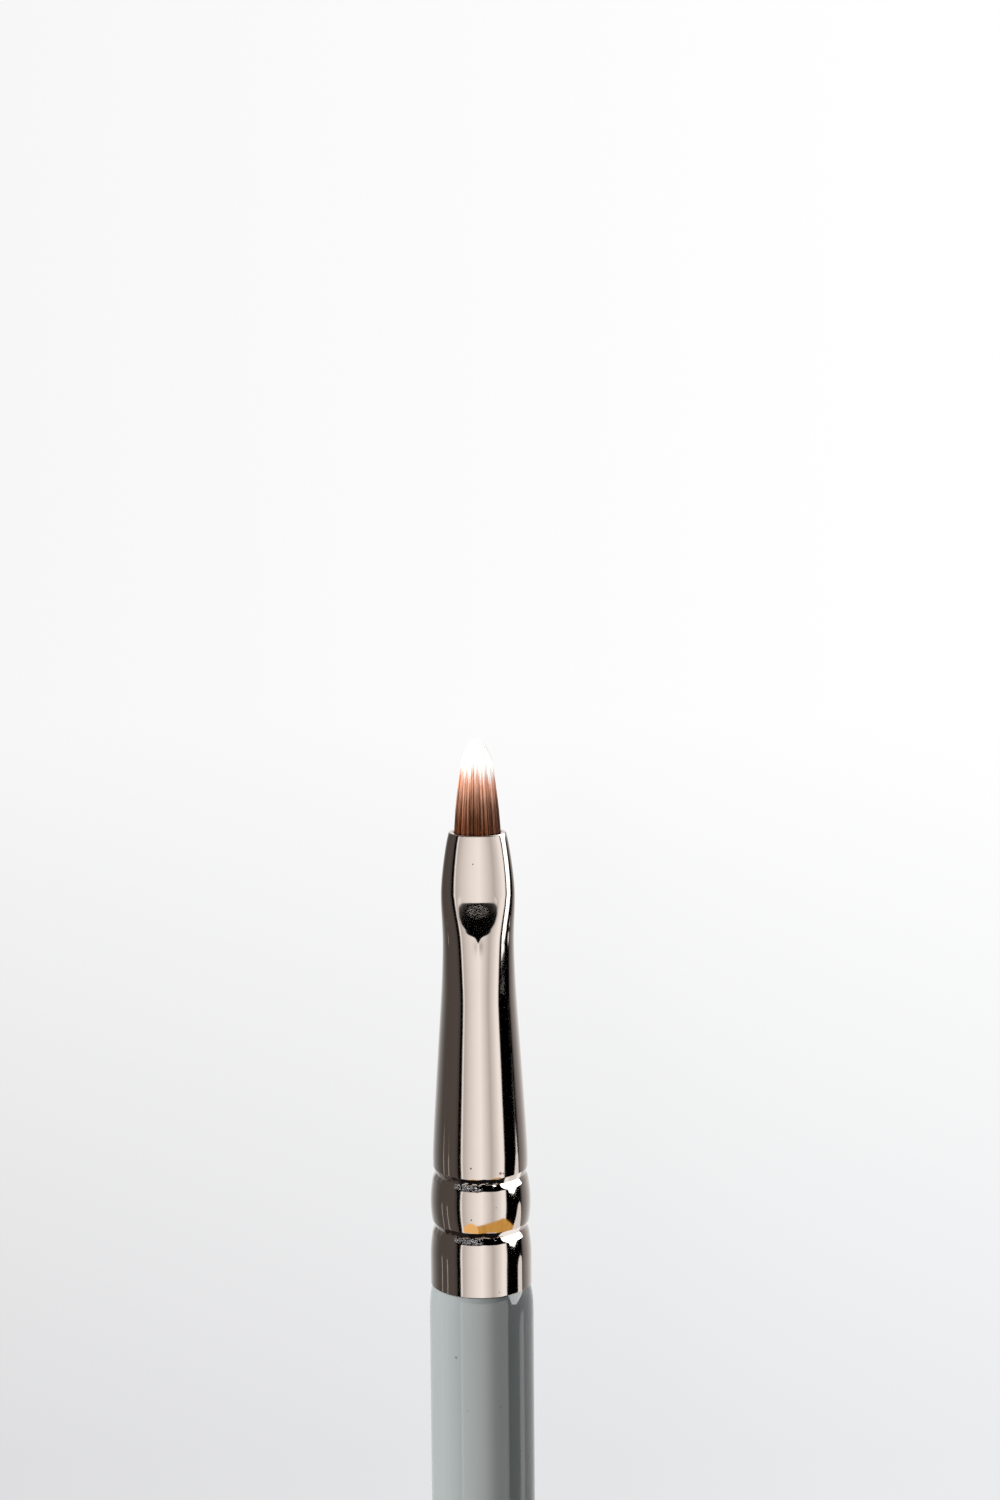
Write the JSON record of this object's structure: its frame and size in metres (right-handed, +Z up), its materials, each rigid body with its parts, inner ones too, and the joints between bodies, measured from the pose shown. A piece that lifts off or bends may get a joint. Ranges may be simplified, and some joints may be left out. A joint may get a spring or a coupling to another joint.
{
  "type": "eyeliner brush",
  "caption": "Small flat eyeliner brush: a pointed oval tuft in a crimped metal ferrule with a pressed mouth, on a slim round lacquered handle that tapers to its tail.",
  "frame": {"origin": "on the surface that the brush lies on, under the middle of its length", "axes": "+Y along the brush towards its filaments, +Z up; the pressed faces of the ferrule look up and down"},
  "size_m": [0.0074, 0.168, 0.0073],
  "materials": {
    "lacquered_wood": "glossy grey-green lacquer on birch",
    "plated_metal": "brass tube, nickel plated and polished",
    "filament": "tapered synthetic filaments, dark brown with white tips",
    "epoxy": "cured clear epoxy",
    "glue": "cured wood glue"
  },
  "bodies": {
    "root": {"handle": "lacquered_wood", "ferrule": "plated_metal", "filament_tuft": "filament", "root_plug": "epoxy", "tenon_glue": "glue"}
  },
  "joints": []
}
